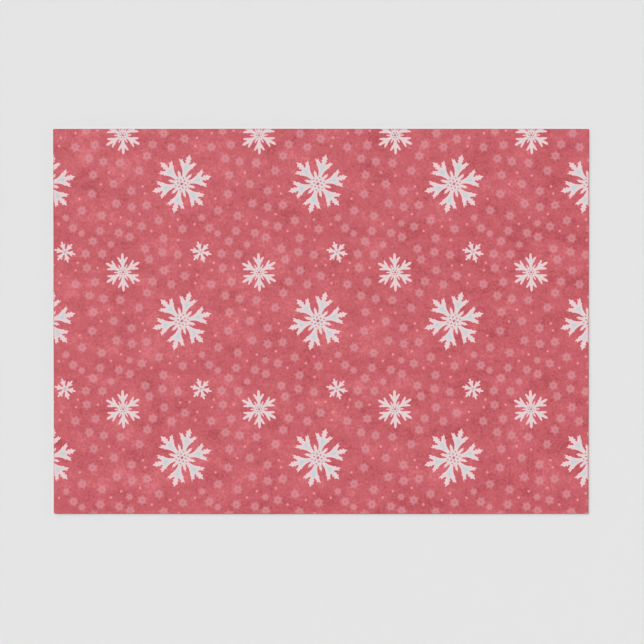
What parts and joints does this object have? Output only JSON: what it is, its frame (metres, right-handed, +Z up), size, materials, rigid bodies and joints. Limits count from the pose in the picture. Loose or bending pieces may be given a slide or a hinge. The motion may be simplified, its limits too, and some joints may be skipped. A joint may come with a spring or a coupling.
{
  "type": "gift wrapping paper sheets",
  "caption": "Flat printed gift-wrapping sheets in a loose pack, red with white snowflakes, each one lifting off the one below.",
  "frame": {"origin": "middle of the pack's underside", "axes": "+X along the long edges, +Y along the short edges towards the top of the print, +Z up out of the printed face"},
  "size_m": [0.3544, 0.255, 0.0014],
  "materials": {
    "printed_paper": "matte uncoated paper, printed on one face"
  },
  "bodies": {
    "sheet_01": {"sheet_01": "printed_paper"},
    "sheet_02": {"sheet_02": "printed_paper"},
    "sheet_03": {"sheet_03": "printed_paper"},
    "sheet_04": {"sheet_04": "printed_paper"},
    "sheet_05": {"sheet_05": "printed_paper"},
    "sheet_06": {"sheet_06": "printed_paper"},
    "sheet_07": {"sheet_07": "printed_paper"},
    "sheet_08": {"sheet_08": "printed_paper"},
    "sheet_09": {"sheet_09": "printed_paper"},
    "sheet_10": {"sheet_10": "printed_paper"}
  },
  "joints": [
    {"name": "sheet_02_lift", "type": "slide", "parent": "sheet_01", "child": "sheet_02", "axis": [0, 0, 1], "range_m": [0, 0.025]},
    {"name": "sheet_03_lift", "type": "slide", "parent": "sheet_02", "child": "sheet_03", "axis": [0, 0, 1], "range_m": [0, 0.025]},
    {"name": "sheet_04_lift", "type": "slide", "parent": "sheet_03", "child": "sheet_04", "axis": [0, 0, 1], "range_m": [0, 0.025]},
    {"name": "sheet_05_lift", "type": "slide", "parent": "sheet_04", "child": "sheet_05", "axis": [0, 0, 1], "range_m": [0, 0.025]},
    {"name": "sheet_06_lift", "type": "slide", "parent": "sheet_05", "child": "sheet_06", "axis": [0, 0, 1], "range_m": [0, 0.025]},
    {"name": "sheet_07_lift", "type": "slide", "parent": "sheet_06", "child": "sheet_07", "axis": [0, 0, 1], "range_m": [0, 0.025]},
    {"name": "sheet_08_lift", "type": "slide", "parent": "sheet_07", "child": "sheet_08", "axis": [0, 0, 1], "range_m": [0, 0.025]},
    {"name": "sheet_09_lift", "type": "slide", "parent": "sheet_08", "child": "sheet_09", "axis": [0, 0, 1], "range_m": [0, 0.025]},
    {"name": "sheet_10_lift", "type": "slide", "parent": "sheet_09", "child": "sheet_10", "axis": [0, 0, 1], "range_m": [0, 0.025]}
  ]
}
